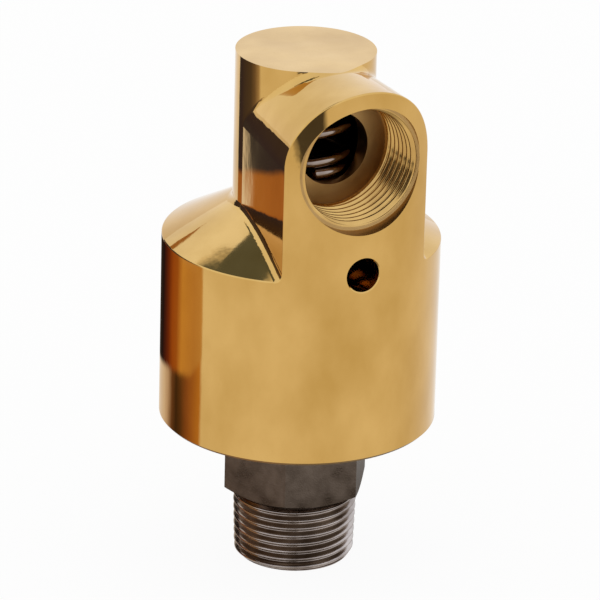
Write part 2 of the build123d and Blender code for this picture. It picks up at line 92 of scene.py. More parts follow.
@dataclass(frozen=True)
class Finish:
    """Procedural surface with colour that drifts, marks of working and uneven gloss.

    The colour goes between two shades with a soft noise, the roughness drifts about its
    mean with the same noise, and the marks raise the surface through one bump.
    """
    name: str
    shade: Colour
    deep_shade: Colour
    roughness: float
    roughness_drift: float
    metallic: float = 1.0
    pattern: Pattern = Pattern.MOULDED
    axis: Axis = Axis.UPRIGHT
    centre: tuple[float, float, float] = (0.0, 0.0, 0.0)
    patch_scale: float = 60.0        # soft patches per metre
    mark_scale: float = 900.0        # marks of working per metre
    mark_height: float = 2.0e-6      # metres
    wave_height: float = 0.0         # unevenness under the marks, metres
    wave_scale: float = 70.0         # waves per metre
    stretch: tuple[float, float, float] = (1.0, 1.0, 1.0)

    def material(self) -> bpy.types.Material:
        """Build the finish.

        Returns:
            A new material with one Principled shader.
        """
        made = bpy.data.materials.new(self.name)
        made.use_nodes = True
        tree = made.node_tree
        shader = tree.nodes["Principled BSDF"]
        shader.inputs["Metallic"].default_value = self.metallic
        place = self._place(tree)
        patches = self._noise(tree, place, self.patch_scale, PATCH_DETAIL)
        tree.links.new(self._ramp(tree, patches), shader.inputs["Base Color"])
        tree.links.new(self._gloss(tree, patches), shader.inputs["Roughness"])
        tree.links.new(self._relief(tree, place), shader.inputs["Normal"])
        return made

    def _place(self, tree: bpy.types.NodeTree) -> bpy.types.NodeSocket:
        """Object coordinates, centred on the finish's axis and stretched.

        Args:
            tree: Tree that the nodes go in.
        Returns:
            The vector socket to read.
        """
        where = tree.nodes.new("ShaderNodeTexCoord")
        moved = tree.nodes.new("ShaderNodeMapping")
        offset = [-centre * stretch for centre, stretch in zip(self.centre, self.stretch)]
        moved.inputs["Location"].default_value = offset
        moved.inputs["Scale"].default_value = self.stretch
        tree.links.new(where.outputs["Object"], moved.inputs["Vector"])
        return moved.outputs["Vector"]

    def _noise(self, tree: bpy.types.NodeTree, place: bpy.types.NodeSocket, scale: float,
               detail: float) -> bpy.types.NodeSocket:
        """Soft noise.

        Args:
            tree: Tree that the node goes in.
            place: Coordinates to read.
            scale: Patches per metre.
            detail: Octaves.
        Returns:
            The noise's value, about 0.5 on average.
        """
        noise = tree.nodes.new("ShaderNodeTexNoise")
        noise.inputs["Scale"].default_value = scale
        noise.inputs["Detail"].default_value = detail
        tree.links.new(place, noise.inputs["Vector"])
        return noise.outputs["Fac"]

    def _ramp(self, tree: bpy.types.NodeTree, value: bpy.types.NodeSocket) -> bpy.types.NodeSocket:
        """Colour between the two shades as a value goes from low to high.

        Args:
            tree: Tree that the node goes in.
            value: Value to follow.
        Returns:
            The colour.
        """
        ramp = tree.nodes.new("ShaderNodeValToRGB")
        low, high = ramp.color_ramp.elements
        low.position, high.position = SHADE_SPAN
        low.color, high.color = (*self.deep_shade, 1.0), (*self.shade, 1.0)
        tree.links.new(value, ramp.inputs["Fac"])
        return ramp.outputs["Color"]

    def _gloss(self, tree: bpy.types.NodeTree, value: bpy.types.NodeSocket) -> bpy.types.NodeSocket:
        """Roughness that drifts about its mean.

        Args:
            tree: Tree that the node goes in.
            value: Value to follow.
        Returns:
            The roughness.
        """
        span = tree.nodes.new("ShaderNodeMapRange")
        least, most = self.roughness - self.roughness_drift, self.roughness + self.roughness_drift
        span.inputs["From Min"].default_value, span.inputs["From Max"].default_value = GLOSS_SPAN
        span.inputs["To Min"].default_value = max(LEAST_ROUGHNESS, least)
        span.inputs["To Max"].default_value = most
        tree.links.new(value, span.inputs["Value"])
        return span.outputs["Result"]

    def _relief(self, tree: bpy.types.NodeTree,
                place: bpy.types.NodeSocket) -> bpy.types.NodeSocket:
        """Marks of working over a slower unevenness, as a bumped normal.

        Args:
            tree: Tree that the nodes go in.
            place: Coordinates to read.
        Returns:
            The normal.
        """
        waves = tree.nodes.new("ShaderNodeBump")
        waves.inputs["Distance"].default_value = self.wave_height
        slow = self._noise(tree, place, self.wave_scale, WAVE_DETAIL)
        tree.links.new(slow, waves.inputs["Height"])
        if self.pattern is Pattern.TURNED:
            rings = tree.nodes.new("ShaderNodeTexWave")
            rings.wave_type = "RINGS"
            rings.rings_direction = self.axis.value
            rings.inputs["Scale"].default_value = self.mark_scale
            rings.inputs["Distortion"].default_value = RING_DISTORTION
            rings.inputs["Detail"].default_value = RING_DETAIL
            tree.links.new(place, rings.inputs["Vector"])
            height = rings.outputs["Fac"]
        else:
            height = self._noise(tree, place, self.mark_scale, GRAIN_DETAIL[self.pattern])
        marks = tree.nodes.new("ShaderNodeBump")
        marks.inputs["Distance"].default_value = self.mark_height
        tree.links.new(height, marks.inputs["Height"])
        tree.links.new(waves.outputs["Normal"], marks.inputs["Normal"])
        return marks.outputs["Normal"]


PORT_CENTRE = (0.0, 0.0, PORT_HEIGHT)

POLISHED_BRASS = Finish(
    "polished_brass", (0.665, 0.41, 0.13), (0.53, 0.305, 0.078), 0.048, 0.030,
    pattern=Pattern.POLISHED, patch_scale=55.0, mark_scale=300.0, mark_height=1.3e-5,
    wave_height=1.6e-4, wave_scale=60.0, stretch=(1.0, 1.0, 0.6))
TURNED_BRASS = Finish(
    "turned_brass", (0.66, 0.41, 0.130), (0.44, 0.25, 0.075), 0.13, 0.05,
    pattern=Pattern.TURNED, axis=Axis.PORT, centre=PORT_CENTRE, mark_scale=1100.0,
    mark_height=6.0e-6)
FACED_BRASS = Finish(
    "faced_brass", (0.46, 0.280, 0.104), (0.34, 0.195, 0.066), 0.32, 0.05,
    pattern=Pattern.TURNED, axis=Axis.PORT, centre=PORT_CENTRE, mark_scale=900.0,
    mark_height=1.2e-5)
# painted shade: the neck's bores get a near-black brass that stands in for the shade inside the
# neck
PAINTED_SHADE_BRASS = Finish(
    "bore_brass_painted_shade", (0.10, 0.062, 0.030), (0.05, 0.030, 0.015), 0.35, 0.08,
    pattern=Pattern.TURNED, mark_scale=1100.0)
DARK_STEEL = Finish(
    "dark_steel", (0.185, 0.142, 0.110), (0.095, 0.070, 0.053), 0.34, 0.10,
    pattern=Pattern.CAST, patch_scale=200.0, mark_scale=2400.0, mark_height=7.0e-5)
THREAD_STEEL = Finish(
    "thread_steel", (0.50, 0.425, 0.365), (0.23, 0.18, 0.145), 0.15, 0.06,
    pattern=Pattern.TURNED, patch_scale=110.0, mark_scale=1400.0, mark_height=3.0e-6)
BEARING_STEEL = Finish(
    "bearing_steel", (0.62, 0.62, 0.63), (0.55, 0.55, 0.56), 0.16, 0.04,
    pattern=Pattern.TURNED, mark_scale=1500.0)
RING_STEEL = Finish(
    "phosphated_steel", (0.10, 0.10, 0.105), (0.06, 0.06, 0.065), 0.45, 0.08,
    pattern=Pattern.CAST, patch_scale=140.0, mark_scale=1800.0, mark_height=1.0e-5)
SPACER_STEEL = Finish(
    "turned_steel", (0.42, 0.42, 0.43), (0.34, 0.34, 0.35), 0.28, 0.06,
    pattern=Pattern.TURNED, mark_scale=1200.0, mark_height=4.0e-6)
CAGE_POLYMER = Finish(
    "moulded_nylon", (0.52, 0.45, 0.30), (0.45, 0.38, 0.25), 0.48, 0.05, metallic=0.0,
    mark_scale=1400.0, mark_height=6.0e-6)
SEAL_RUBBER = Finish(
    "nitrile_rubber", (0.022, 0.022, 0.022), (0.012, 0.012, 0.012), 0.52, 0.08, metallic=0.0,
    mark_scale=1600.0, mark_height=8.0e-6)
SEAL_CARBON = Finish(
    "carbon_graphite", (0.050, 0.050, 0.054), (0.032, 0.032, 0.035), 0.38, 0.06, metallic=0.3,
    pattern=Pattern.TURNED, mark_scale=1300.0)
SEAT_METAL = Finish(
    "hard_seat_metal", (0.36, 0.37, 0.39), (0.30, 0.31, 0.33), 0.20, 0.04,
    pattern=Pattern.TURNED, mark_scale=1300.0)
CARRIER_BRONZE = Finish(
    "turned_bronze", (0.42, 0.25, 0.11), (0.33, 0.18, 0.07), 0.27, 0.06,
    pattern=Pattern.TURNED, mark_scale=1100.0, mark_height=4.0e-6)
BACKUP_PTFE = Finish(
    "white_ptfe", (0.80, 0.79, 0.75), (0.74, 0.73, 0.69), 0.42, 0.05, metallic=0.0,
    mark_scale=1200.0, mark_height=4.0e-6)
SPRING_STEEL = Finish(
    "oiled_spring_steel", (0.34, 0.27, 0.22), (0.22, 0.16, 0.12), 0.13, 0.04,
    pattern=Pattern.POLISHED, patch_scale=200.0, mark_scale=1200.0)


def dress(node: str, finish: bpy.types.Material) -> None:
    """Give a CAD node one finish.

    Args:
        node: Name of the node.
        finish: Material to assign to every slot.
    """
    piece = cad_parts[node]
    for slot in piece.material_slots:
        slot.material = finish
    log.info("dressed %s", node)


# ---------------------------------------------------------------- surfaces
def merged(points: np.ndarray, triangles: np.ndarray) -> tuple[np.ndarray, np.ndarray]:
    """Make points that coincide one point.

    Args:
        points: Points, one per row.
        triangles: Corner numbers, three per row.
    Returns:
        The distinct points and the triangles renumbered to them.
    """
    keys = np.round(points / WELD).astype(np.int64)
    _, first, inverse = np.unique(keys, axis=0, return_index=True, return_inverse=True)
    return points[first], inverse.reshape(-1)[triangles]


def face_normals(points: np.ndarray, triangles: np.ndarray) -> np.ndarray:
    """Normals of triangles, as long as twice their area.

    Args:
        points: Points, one per row.
        triangles: Corner numbers, three per row.
    Returns:
        One vector per triangle, the cross product of two of its sides.
    """
    a, b, c = (points[triangles[:, k]] for k in range(3))
    return np.cross(b - a, c - a)


def smooth_corners(points: np.ndarray, triangles: np.ndarray) -> np.ndarray:
    """Normals at the corners of triangles on one smooth surface.

    Args:
        points: Points, one per row.
        triangles: Corner numbers, three per row.
    Returns:
        An array of triangles by corners by xyz. Each corner has the mean of the normals
        round its point, weighted by area.
    """
    joined, renumbered = merged(points, triangles)
    flat = face_normals(joined, renumbered)
    total = np.zeros_like(joined)
    for corner in range(3):
        np.add.at(total, renumbered[:, corner], flat)
    length = np.linalg.norm(total, axis=1, keepdims=True)
    return (total / np.maximum(length, LEAST_LENGTH))[renumbered]


def grid_triangles(rows: int, columns: int, closed: bool) -> np.ndarray:
    """Triangles of a grid of points stored row after row.

    Args:
        rows: Number of rows.
        columns: Points in each row.
        closed: Whether the last column joins the first.
    Returns:
        Corner numbers, two triangles per cell.
    """
    across = columns if closed else columns - 1
    row, column = np.meshgrid(np.arange(rows - 1), np.arange(across), indexing="ij")
    here = row * columns + column
    beside = row * columns + (column + 1) % columns
    lower = np.stack([here, beside, beside + columns], -1)
    upper = np.stack([here, beside + columns, here + columns], -1)
    return np.concatenate([lower.reshape(-1, 3), upper.reshape(-1, 3)])


def zipped(first: np.ndarray, second: np.ndarray) -> np.ndarray:
    """Triangles between two rings of points whose angles are sorted.

    Each step along one ring makes a triangle with the last point passed on the other.

    Args:
        first: Sorted angles of the first ring, numbered from 0.
        second: Sorted angles of the second ring, numbered on from the first.
    Returns:
        Corner numbers, three per row.
    """
    n, m = len(first), len(second)
    along = np.arange(n)
    apex = (np.searchsorted(second, first, side="right") - 1) % m
    one = np.stack([(along - 1) % n, along, n + apex], -1)
    along = np.arange(m)
    apex = (np.searchsorted(first, second, side="left") - 1) % n
    two = np.stack([n + along, n + (along - 1) % m, apex], -1)
    return np.concatenate([one, two])


@dataclass
class Patchwork:
    """Surface made of patches, each with its own corner normals and finish."""
    points: list[np.ndarray] = field(default_factory=list)
    triangles: list[np.ndarray] = field(default_factory=list)
    normals: list[np.ndarray] = field(default_factory=list)
    slots: list[np.ndarray] = field(default_factory=list)
    count: int = 0

    def add(self, points: np.ndarray, triangles: np.ndarray, normals: np.ndarray,
            slot: int) -> None:
        """Add a patch.

        Args:
            points: Points, one per row.
            triangles: Corner numbers within the patch, facing outwards.
            normals: Normal at each corner of each triangle.
            slot: Number of the finish.
        """
        self.points.append(points)
        self.triangles.append(triangles + self.count)
        self.normals.append(normals)
        self.slots.append(np.full(len(triangles), slot))
        self.count += len(points)

    def build(self, name: str, finishes: list[bpy.types.Material]) -> bpy.types.Object:
        """Weld the patches into one mesh.

        Args:
            name: Name of the object.
            finishes: Materials in the order of the slot numbers.
        Returns:
            The object, at the origin.
        """
        points, triangles = merged(np.concatenate(self.points), np.concatenate(self.triangles))
        normals = np.concatenate(self.normals)
        slots = np.concatenate(self.slots)
        a, b, c = triangles.T
        whole = (a != b) & (b != c) & (c != a)
        triangles, normals, slots = triangles[whole], normals[whole], slots[whole]
        mesh = bpy.data.meshes.new(name)
        mesh.vertices.add(len(points))
        mesh.vertices.foreach_set("co", points.astype(np.float32).ravel())
        mesh.loops.add(triangles.size)
        mesh.loops.foreach_set("vertex_index", triangles.astype(np.int32).ravel())
        mesh.polygons.add(len(triangles))
        mesh.polygons.foreach_set("loop_start", np.arange(0, triangles.size, 3, dtype=np.int32))
        mesh.polygons.foreach_set("material_index", slots.astype(np.int32))
        mesh.polygons.foreach_set("use_smooth", np.ones(len(triangles), dtype=bool))
        mesh.update(calc_edges=True)
        mesh.normals_split_custom_set(normals.reshape(-1, 3).tolist())
        for finish in finishes:
            mesh.materials.append(finish)
        piece = bpy.data.objects.new(name, mesh)
        bpy.context.scene.collection.objects.link(piece)
        log.info("%s: %d triangles", name, len(triangles))
        return piece


def cad_copy(node: str) -> tuple[np.ndarray, np.ndarray, np.ndarray]:
    """Read a CAD node's surface.

    Args:
        node: Name of the node.
    Returns:
        Its distinct points, its triangles and the normal at each of their corners.
    """
    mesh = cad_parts[node].data
    points = np.empty(len(mesh.vertices) * 3, dtype=np.float32)
    mesh.vertices.foreach_get("co", points)
    corners = np.empty(len(mesh.loops), dtype=np.int32)
    mesh.loops.foreach_get("vertex_index", corners)
    normals = np.empty(len(mesh.loops) * 3, dtype=np.float32)
    mesh.corner_normals.foreach_get("vector", normals)
    joined, triangles = merged(points.reshape(-1, 3).astype(float), corners.reshape(-1, 3))
    return joined, triangles, normals.reshape(-1, 3, 3).astype(float)


def pipe_thread(turns: np.ndarray, middle: np.ndarray | float, depth: float) -> np.ndarray:
    """Radius of a 55 degree pipe thread with rounded crests and roots.

    The flanks and rounds of this thread follow a cosine closely: the radius is the middle
    radius plus half the depth times the cosine of the whole turns.

    Args:
        turns: Place along the thread in pitches, whole at the outermost points.
        middle: Radius half way between crest and root.
        depth: Radial distance from crest to root.
    Returns:
        The radius at each place.
    """
    return middle + depth / 2 * np.cos(2 * math.pi * turns)


@dataclass(frozen=True)
class RoundWall:
    """Wall that runs round an axis, as a bore or a spindle does."""
    across: tuple[int, int]              # the two coordinates across the axis
    along: int                           # the coordinate along the axis
    centre: tuple[float, float]          # place of the axis across
    facing: float                        # 1 for a spindle, -1 for a bore

    def radii(self, points: np.ndarray) -> np.ndarray:
        """Distance of points from the axis."""
        first, second = self.across
        return np.hypot(points[..., first] - self.centre[0], points[..., second] - self.centre[1])

    def angles(self, points: np.ndarray) -> np.ndarray:
        """Angle of points about the axis, from the first coordinate towards the second."""
        first, second = self.across
        return np.arctan2(points[..., second] - self.centre[1], points[..., first] - self.centre[0])

    def sweep(self, profile: Callable[[np.ndarray, np.ndarray], np.ndarray], angle: np.ndarray,
              along: np.ndarray) -> np.ndarray:
        """Points of a wall whose radius depends on the angle and on the place along the axis.

        Across the axis, a point lies at the centre plus the radius times the cosine and the
        sine of its angle.

        Args:
            profile: Radius at each angle and place.
            angle: Angle of each column.
            along: Place of each row.
        Returns:
            Points, row after row.
        """
        grid_angle, grid_along = np.meshgrid(angle, along)
        radius = profile(grid_angle, grid_along)
        points = np.empty((*radius.shape, 3))
        points[..., self.across[0]] = self.centre[0] + radius * np.cos(grid_angle)
        points[..., self.across[1]] = self.centre[1] + radius * np.sin(grid_angle)
        points[..., self.along] = grid_along
        return points.reshape(-1, 3)

    def edge(self, points: np.ndarray, used: np.ndarray, radius: float,
             along: float) -> np.ndarray:
        """Find the points of a circular edge, in order of their angle.

        Args:
            points: Points, one per row.
            used: Numbers of the points that are still in use.
            radius: Radius of the edge.
            along: Place of the edge along the axis.
        Returns:
            The points on the edge.
        """
        on_edge = np.abs(self.radii(points) - radius) < EDGE_REACH
        on_edge &= np.abs(points[:, self.along] - along) < EDGE_REACH
        in_use = np.zeros(len(points), dtype=bool)
        in_use[used] = True
        found = points[on_edge & in_use]
        return found[np.argsort(self.angles(found))]

    def join(self, work: Patchwork, edge: np.ndarray, row: np.ndarray, angle: np.ndarray,
             slot: int) -> None:
        """Add the strip between a circular edge and the end row of a swept wall.

        Triangles whose normal points the wrong way across the axis are turned over.

        Args:
            work: Surface to add to.
            edge: Points of the edge, in order of their angle.
            row: Points of the end row.
            angle: Angle of each point of the row.
            slot: Number of the finish.
        """
        strip = np.concatenate([edge, row])
        faces = zipped(self.angles(edge), angle)
        outward = self.facing * (strip[faces].mean(1)[:, self.across] - self.centre)
        normals = face_normals(strip, faces)[:, self.across]
        turned = np.einsum("ij,ij->i", normals, outward) < 0
        faces[turned] = faces[turned][:, ::-1]
        work.add(strip, faces, smooth_corners(strip, faces), slot)


# ---------------------------------------------------------------- housing
class Brass(IntEnum):
    """Finishes of the housing, as its material slots number them."""
    POLISHED = 0
    TURNED = 1
    FACED = 2
    # the neck's bores, with a near-black colour that is painted shade
    PAINTED_SHADE = 3


PORT_WALL = RoundWall(across=(0, 2), along=1, centre=(0.0, PORT_HEIGHT), facing=-1.0)


@dataclass
class Housing:
    """Brass housing with its tapped side port."""
    spotface: float = 33.25 * MM         # distance of the spot face from the axis
    floor: float = 17.6 * MM             # distance of the port's floor from the axis
    lead_in_radius: float = 17.4 * MM
    lead_in: float = 0.26 * MM           # depth of the lead-in down to the thread's roots
    lead_in_slope: float = 3.2           # fall of its radius with depth
    port_reach: float = 17.6 * MM        # the whole port lies within this radius
    crest_slack: float = 0.1 * MM        # the CAD's plain wall lies between the crests less
    lead_in_slack: float = 0.02 * MM     # this and the lead-in plus this
    window_reach: float = 15.6 * MM      # the window into the neck lies within this radius
    window_depth: float = 8.0 * MM       # and no further than this behind the port's floor
    neck_reach: float = 18.0 * MM        # the neck's bores lie within this radius
    neck_top: float = 140.5 * MM         # and below this height
    weep_mouth: float = 37.3 * MM        # the weep hole's wall is nearer the axis than this
    weep_height: float = 94.25 * MM
    weep_radius: float = 4.7 * MM
    crest_radius: float = 15.5 * MM
    root_radius: float = 16.62 * MM
    thread_depth: float = 1.27 * MM      # before the crests are bored off
    pitch: float = 2.309 * MM
    first_crest: float = -31.5 * MM      # place of a crest at the angle below
    first_angle: float = -35.0           # degrees from +X towards +Z
    run_out: float = 1.5 * MM
    lip: float = 0.04 * MM               # strip between thread and CAD edge
    columns: int = 288
    rows: int = 170

    def thread(self, angle: np.ndarray, depth: np.ndarray) -> np.ndarray:
        """Radius of the tapped wall.

        The radius is the greatest of the bored crest, the steep lead-in, and the thread,
        which fades out before the floor.

        Args:
            angle: Angle about the port's axis from +X towards +Z.
            depth: Place along Y.
        Returns:
            The radius at each place.
        """
        turns = (depth - self.first_crest) / self.pitch
        turns = turns + (angle - math.radians(self.first_angle)) / (2 * math.pi)
        turns = turns + 0.5              # a tapped hole's crests are its innermost points
        middle = self.root_radius - self.thread_depth / 2
        thread = pipe_thread(turns, middle, self.thread_depth)
        fade = np.clip((-self.floor - depth) / self.run_out, 0.0, 1.0)
        thread = self.crest_radius + (thread - self.crest_radius) * fade
        lead_in = self.lead_in_radius - self.lead_in_slope * (depth + self.spotface)
        return np.maximum(np.maximum(self.crest_radius, lead_in), thread)

    def tapped_wall(self, work: Patchwork, points: np.ndarray, used: np.ndarray) -> None:
        """Add the threaded wall, with a strip at each end that meets the CAD's edges.

        Args:
            work: Surface to add to.
            points: Points of the CAD copy.
            used: Numbers of the points that the kept triangles use.
        """
        angle = np.linspace(-math.pi, math.pi, self.columns, endpoint=False)
        depth = np.linspace(-self.spotface + self.lip, -self.floor - self.lip, self.rows)
        grid = PORT_WALL.sweep(self.thread, angle, depth)
        triangles = grid_triangles(self.rows, self.columns, True)
        corners = smooth_corners(grid, triangles)
        outer = grid[triangles][..., 1].mean(1) < -self.spotface + self.lead_in
        work.add(grid, triangles[outer], corners[outer], Brass.FACED)
        work.add(grid, triangles[~outer], corners[~outer], Brass.TURNED)
        mouth = PORT_WALL.edge(points, used, self.lead_in_radius, -self.spotface)
        PORT_WALL.join(work, mouth, grid[:self.columns], angle, Brass.FACED)
        foot = PORT_WALL.edge(points, used, self.crest_radius, -self.floor)
        PORT_WALL.join(work, foot, grid[-self.columns:], angle, Brass.TURNED)

    def skin(self) -> bpy.types.Object:
        """Copy the housing and cut the thread into its port.

        Returns:
            The housing's visible surface.
        """
        points, triangles, normals = cad_copy("housing")
        corner = points[triangles]
        middle = corner.mean(1)
        around = PORT_WALL.radii(corner)
        nearest, farthest = around.min(1), around.max(1)
        depth, height = middle[:, 1], middle[:, 2]
        in_port = (corner[..., 1].max(1) < -self.floor + NEAR) & (farthest < self.port_reach)
        # the unthreaded wall, whose place the threaded one takes
        plain = in_port & (nearest > self.crest_radius - self.crest_slack)
        plain &= farthest < self.lead_in_radius + self.lead_in_slack
        plain &= (depth < -self.floor - NEAR) & (depth > -self.spotface + NEAR)
        window = (depth < -self.floor + self.window_depth) & (farthest < self.window_reach)
        # the neck's bores, which get the near-black painted shade
        bores = np.hypot(middle[:, 0], depth) < self.neck_reach
        bores &= (height < self.neck_top) & ~in_port & ~window
        weep = (depth < 0) & (depth > -self.weep_mouth)
        weep &= np.hypot(middle[:, 0], height - self.weep_height) < self.weep_radius
        # the port's floor and window, and the spot face with what lies in front of it
        faced = in_port & (depth > -self.floor - NEAR) | window
        faced |= in_port & (depth < -self.spotface - NEAR)
        slots = np.select([faced, bores, in_port | weep],
                          [Brass.FACED, Brass.PAINTED_SHADE, Brass.TURNED], Brass.POLISHED)
        work = Patchwork()
        for slot in Brass:
            share = ~plain & (slots == slot)
            work.add(points, triangles[share], normals[share], slot)
        self.tapped_wall(work, points, np.unique(triangles[~plain]))
        finishes = (POLISHED_BRASS, TURNED_BRASS, FACED_BRASS, PAINTED_SHADE_BRASS)
        return work.build("housing_skin", [finish.material() for finish in finishes])

    def build(self) -> None:
        """Make the housing's surface and put it in place of the plain one."""
        piece = self.skin()
        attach(piece, "housing")
        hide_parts("housing")


# ---------------------------------------------------------------- rotor
class Steel(IntEnum):
    """Finishes of the rotor, as its material slots number them."""
    FORGED = 0
    MACHINED = 1


NIPPLE_WALL = RoundWall(across=(0, 1), along=2, centre=(0.0, 0.0), facing=1.0)


@dataclass
class Rotor:
    """Steel rotor with its hexagon and tapered pipe thread."""
    end_radius: float = 15.1 * MM        # end face, inside its chamfer
    shoulder_radius: float = 16.6 * MM
    thread_top: float = 18.8 * MM
    crest_at_end: float = 16.3 * MM
    taper: float = 1 / 32                # growth of the radius with height
    thread_depth: float = 1.479 * MM
    pitch: float = 2.309 * MM
    lip: float = 0.04 * MM               # strip between thread and CAD edge
    forged_radius: float = 15.2 * MM     # the forged faces lie outside this radius
    forged_low: float = 19.5 * MM        # and between these heights
    forged_high: float = 37.5 * MM
    columns: int = 256
    rows: int = 230

    def thread(self, angle: np.ndarray, height: np.ndarray) -> np.ndarray:
        """Radius of the threaded nipple.

        The radius is the least of the tapered thread, the 45 degree chamfer at the end face,
        and a 45 degree chamfer down to the shoulder at the top.

        Args:
            angle: Angle about Z.
            height: Height above the end face.
        Returns:
            The radius at each place.
        """
        turns = height / self.pitch - angle / (2 * math.pi)
        middle = self.crest_at_end + height * self.taper - self.thread_depth / 2
        thread = pipe_thread(turns, middle, self.thread_depth)
        end = self.end_radius + height
        top = self.shoulder_radius + (self.thread_top - height)
        return np.minimum(np.minimum(thread, end), top)

    def nipple(self, work: Patchwork, points: np.ndarray, used: np.ndarray) -> None:
        """Add the threaded wall, with a strip at each end that meets the CAD's edges.

        Args:
            work: Surface to add to.
            points: Points of the CAD copy.
            used: Numbers of the points that the kept triangles use.
        """
        angle = np.linspace(-math.pi, math.pi, self.columns, endpoint=False)
        height = np.linspace(self.lip, self.thread_top - self.lip, self.rows)
        grid = NIPPLE_WALL.sweep(self.thread, angle, height)
        triangles = grid_triangles(self.rows, self.columns, True)
        work.add(grid, triangles, smooth_corners(grid, triangles), Steel.MACHINED)
        foot = NIPPLE_WALL.edge(points, used, self.end_radius, 0.0)
        NIPPLE_WALL.join(work, foot, grid[:self.columns], angle, Steel.MACHINED)
        shoulder = NIPPLE_WALL.edge(points, used, self.shoulder_radius, self.thread_top)
        NIPPLE_WALL.join(work, shoulder, grid[-self.columns:], angle, Steel.MACHINED)

    def skin(self) -> bpy.types.Object:
        """Copy the rotor and cut the thread into its nipple.

        Returns:
            The rotor's visible surface.
        """
        points, triangles, normals = cad_copy("rotor")
        corner = points[triangles]
        around = NIPPLE_WALL.radii(corner)
        height = corner.mean(1)[:, 2]
        # the unthreaded wall, whose place the threaded one takes
        plain = around.min(1) > self.end_radius - 2 * NEAR
        plain &= (height > NEAR) & (corner[..., 2].max(1) < self.thread_top + NEAR)
        plain &= height < self.thread_top - NEAR
        forged = ~plain & (around.max(1) > self.forged_radius)
        forged &= (height > self.forged_low) & (height < self.forged_high)
        machined = ~plain & ~forged
        work = Patchwork()
        work.add(points, triangles[forged], normals[forged], Steel.FORGED)
        work.add(points, triangles[machined], normals[machined], Steel.MACHINED)
        self.nipple(work, points, np.unique(triangles[~plain]))
        return work.build("rotor_skin", [DARK_STEEL.material(), THREAD_STEEL.material()])

    def build(self) -> None:
        """Make the rotor's surface and put it in place of the plain one."""
        piece = self.skin()
        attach(piece, "rotor")
        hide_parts("rotor")
        dress("rotor_retaining_ring", RING_STEEL.material())
        dress("inner_spacer", SPACER_STEEL.material())


# ---------------------------------------------------------------- spring
@dataclass
class Spring:
    """Compression spring between the seal carrier and the crown of the neck."""
    mean_radius: float = 13.0 * MM
    wire_radius: float = 1.5 * MM
    low: float = 113.05 * MM
    high: float = 140.0 * MM
    closed_pitch: float = 3.1 * MM
    active_turns: float = 2.25
    start: float = -106.0                # degrees from +X to the lower end of the wire
    squeezed: float = 0.9443             # length at full lift over length at rest
    steps_per_turn: int = 72
    sides: int = 24

    def centre_line(self) -> tuple[np.ndarray, np.ndarray]:
        """Turn angle and height along the wire.

        The height rises by the closed pitch over the first and last turns and evenly over
        the open turns between them.

        Returns:
            The angle about Z and the height at each step.
        """
        turns = self.active_turns + 2
        steps = int(turns * self.steps_per_turn) + 1
        along = np.linspace(0.0, turns, steps)
        low, high = self.low + self.wire_radius, self.high - self.wire_radius
        height = np.interp(along, [0.0, 1.0, 1.0 + self.active_turns, turns],
                           [low, low + self.closed_pitch, high - self.closed_pitch, high])
        return math.radians(self.start) + along * 2 * math.pi, height

    def build(self) -> None:
        """Sweep the wire's circle along the centre line, closed by a flat disc at each end.

        A point of the wire is the centre line's point plus the wire's radius times the cosine
        of an angle outwards and its sine across the line.
        """
        angle, height = self.centre_line()
        around = np.linspace(0.0, 2 * math.pi, self.sides, endpoint=False)[None, :, None]
        out = np.stack([np.cos(angle), np.sin(angle), 0 * angle], -1)
        line = out * self.mean_radius + np.stack([0 * height, 0 * height, height], -1)
        ahead = np.gradient(line, axis=0)
        ahead /= np.linalg.norm(ahead, axis=1, keepdims=True)
        across = np.cross(ahead, out)
        circle = np.cos(around) * out[:, None] + np.sin(around) * across[:, None]
        wire = line[:, None] + self.wire_radius * circle
        points = wire.reshape(-1, 3)
        triangles = grid_triangles(len(angle), self.sides, True)[:, ::-1]
        work = Patchwork()
        work.add(points, triangles, smooth_corners(points, triangles), 0)
        rim = np.arange(self.sides)
        fan = np.stack([rim, (rim + 1) % self.sides, np.full(self.sides, self.sides)], -1)
        for end, faces in ((0, fan[:, ::-1]), (-1, fan)):
            disc = np.concatenate([wire[end], line[end][None]])
            work.add(disc, faces, smooth_corners(disc, faces), 0)
        piece = work.build("spring_wire", [SPRING_STEEL.material()])
        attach(piece, "housing")
        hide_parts("spring")
        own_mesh(piece)


# ---------------------------------------------------------------- inside
@dataclass
class Bearings:
    """Two shielded ball bearings and what holds them apart and in place."""
    rows: tuple[str, ...] = ("lower", "upper")

    def build(self) -> None:
        """Dress the races, balls, cages, shields, spacer and retaining ring."""
        steel, shield = BEARING_STEEL.material(), SPACER_STEEL.material()
        cage = CAGE_POLYMER.material()
        for row in self.rows:
            for part in ("outer_race", "inner_race", "balls"):
                dress(f"{row}_bearing_{part}", steel)
            dress(f"{row}_bearing_shields", shield)
            dress(f"{row}_bearing_cage", cage)
        dress("outer_spacer", shield)
        dress("anti_rotation_pins", steel)
        dress("housing_retaining_ring", RING_STEEL.material())


@dataclass
class Seals:
    """Face seal between rotor and housing, and the grease seal under the bearings."""
    rubber_rings: tuple[str, ...] = ("seat_o_ring", "carrier_o_ring", "grease_seal_lip")

    def build(self) -> None:
        """Dress each ring in its own finish."""
        rubber = SEAL_RUBBER.material()
        for node in self.rubber_rings:
            dress(node, rubber)
        dress("seal_seat", SEAT_METAL.material())
        dress("carbon_seal_ring", SEAL_CARBON.material())
        dress("seal_carrier", CARRIER_BRONZE.material())
        dress("carrier_backup_ring", BACKUP_PTFE.material())
        dress("grease_seal_case", SPACER_STEEL.material())
        dress("garter_spring", SPRING_STEEL.material())


